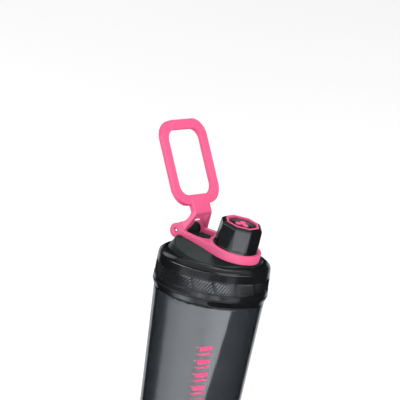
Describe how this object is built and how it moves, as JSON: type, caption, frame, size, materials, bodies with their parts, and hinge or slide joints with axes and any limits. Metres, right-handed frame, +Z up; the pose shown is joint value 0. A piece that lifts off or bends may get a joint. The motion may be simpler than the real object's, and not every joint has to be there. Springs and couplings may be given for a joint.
{
  "type": "protein shaker bottle",
  "caption": "Tapered translucent shaker cup with a screw-on lid, sloped deck, drinking spout, octagonal screw cap and a hinged carry loop whose ring surrounds the spout.",
  "frame": {"origin": "centre of the flat underside of the base pad, on the cup's axis", "axes": "+Z up along the cup's axis; +X towards the spout; the carry loop's hinge pin lies along Y on the -X side"},
  "size_m": [0.1073, 0.092, 0.2734],
  "materials": {
    "smoke_clear": "clear smoke-grey copolyester, glossy",
    "black_gloss": "moulded black polypropylene, glossy",
    "deck_satin": "moulded charcoal polypropylene, satin",
    "black_satin": "moulded black plastic, satin",
    "pink_satin": "moulded pink polypropylene, satin",
    "clear_silicone": "milky food-grade silicone",
    "black_rubber": "matt moulded silicone rubber",
    "steel": "ground stainless steel"
  },
  "bodies": {
    "cup": {"cup": "smoke_clear", "base_pad": "black_rubber", "mixing_grid": "black_satin"},
    "lid_carrier": {"lid_gasket": "clear_silicone"},
    "lid": {"lid_collar": "black_gloss", "lid_deck": "deck_satin", "align_mark": "black_satin", "vent_valve": "clear_silicone", "ring_grip": "black_rubber", "hinge_pin": "steel", "hinge_bush_left": "black_satin", "hinge_bush_right": "black_satin"},
    "loop": {"carry_loop": "pink_satin"},
    "cap_carrier": {"cap_retainer": "black_satin"},
    "cap": {"spout_cap": "black_gloss", "cap_seal": "clear_silicone", "cap_trim_ring": "pink_satin", "cap_disc": "black_satin", "cap_emblem": "pink_satin"}
  },
  "joints": [
    {"name": "lid_lift", "type": "slide", "parent": "cup", "child": "lid_carrier", "axis": [0, 0, 1], "range_m": [0, 0.0121]},
    {"name": "lid_turn", "type": "hinge", "parent": "lid_carrier", "child": "lid", "pos_m": [0, 0, 0.16], "axis": [0, 0, 1], "range_deg": [0, 360]},
    {"name": "loop_swing", "type": "hinge", "parent": "lid", "child": "loop", "pos_m": [-0.0322, 0, 0.1899], "axis": [0, -1, 0], "range_deg": [0, 110]},
    {"name": "cap_lift", "type": "slide", "parent": "loop", "child": "cap_carrier", "axis": [0.134, 0, 0.991], "range_m": [0, 0.00201]},
    {"name": "cap_turn", "type": "hinge", "parent": "cap_carrier", "child": "cap", "pos_m": [0.01705, 0, 0.1834], "axis": [0.134, 0, 0.991], "range_deg": [0, 120]}
  ],
  "couplings": [
    {"joint": "lid_lift", "follows": "lid_turn", "m_per_rad": 0.0019099},
    {"joint": "cap_lift", "follows": "cap_turn", "m_per_rad": 0.00095493}
  ]
}
